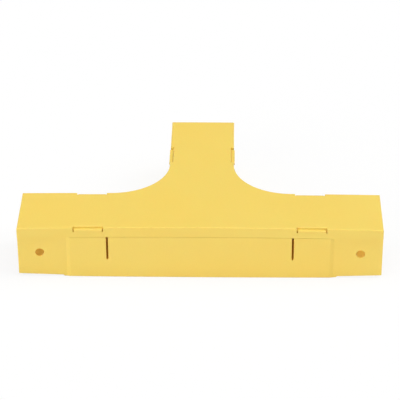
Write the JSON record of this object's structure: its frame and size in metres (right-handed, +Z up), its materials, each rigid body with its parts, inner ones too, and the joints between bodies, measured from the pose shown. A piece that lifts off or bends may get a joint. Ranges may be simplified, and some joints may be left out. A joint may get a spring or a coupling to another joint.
{
  "type": "fibre raceway tee fitting",
  "caption": "Flat tee of a small closed fibre duct: open channel base with curved inner corners and thin sleeves at its mouths, closed by a clip-on cover.",
  "frame": {"origin": "on the underside, where the centre lines of the run and the branch cross", "axes": "+X along the straight run, +Y out along the branch, +Z up through the cover"},
  "size_m": [0.3, 0.1782, 0.048],
  "materials": {
    "base_plastic": "satin moulded yellow",
    "cover_plastic": "satin moulded yellow"
  },
  "bodies": {
    "root": {"tee_base": "base_plastic", "snap_cover": "cover_plastic"}
  },
  "joints": []
}
